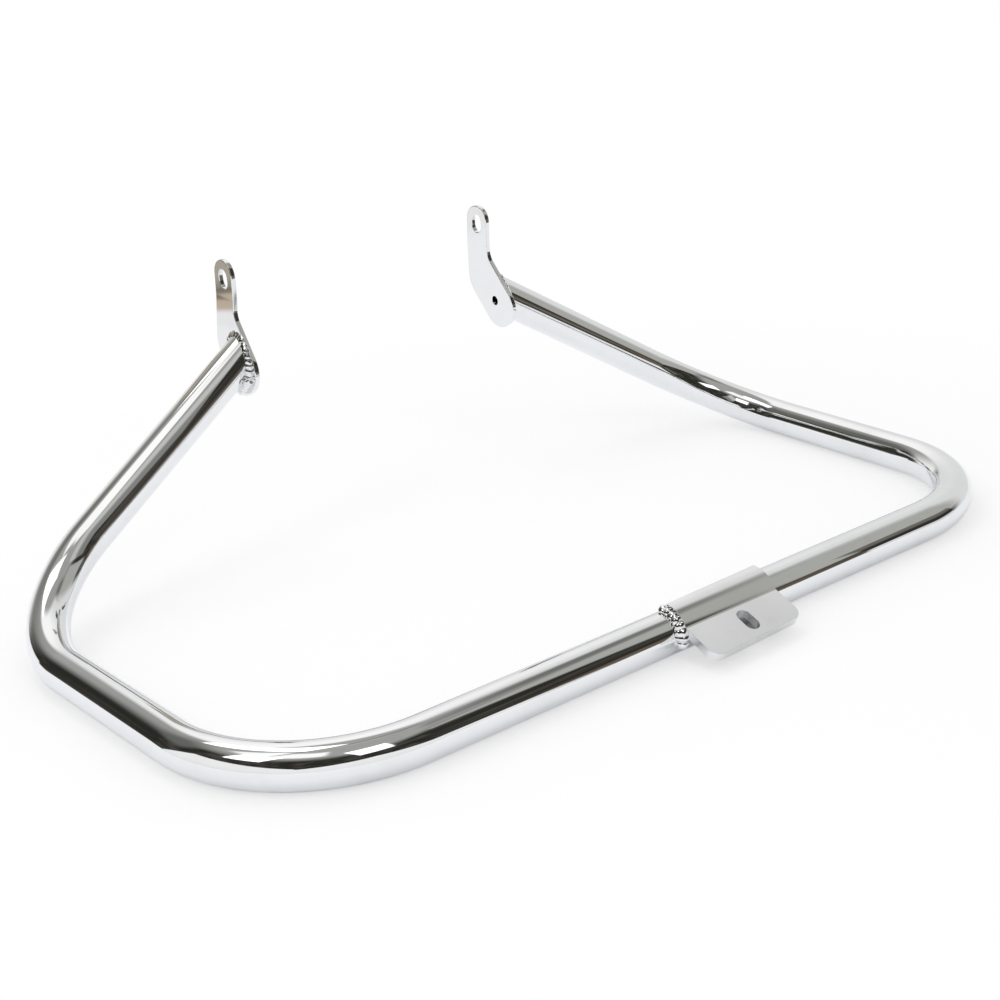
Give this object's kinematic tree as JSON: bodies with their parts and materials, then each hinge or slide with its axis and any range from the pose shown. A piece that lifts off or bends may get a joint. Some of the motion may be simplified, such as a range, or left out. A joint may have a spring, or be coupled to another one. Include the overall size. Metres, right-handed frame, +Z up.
{
  "type": "motorcycle engine guard",
  "caption": "Bent chromed tube guard that bolts across a motorcycle's frame by slotted end tabs and a slotted saddle plate.",
  "frame": {"origin": "on the floor that the guard lies on, under the middle of its box", "axes": "+X to the guard's right along its crossbar, +Y from the crossbar back to the tabs, +Z up from the floor to the tabs' slots"},
  "size_m": [0.7572, 0.4712, 0.2445],
  "materials": {
    "tube_chrome": "polished chrome plating on a bent steel tube",
    "plate_chrome": "chrome plating on cut and folded steel plate",
    "weld_chrome": "chrome plating over rippled weld beads"
  },
  "bodies": {
    "root": {"guard_tube": "tube_chrome", "right_tab": "plate_chrome", "left_tab": "plate_chrome", "right_tab_weld": "weld_chrome", "left_tab_weld": "weld_chrome", "saddle_bracket": "plate_chrome", "saddle_weld": "weld_chrome"}
  },
  "joints": []
}
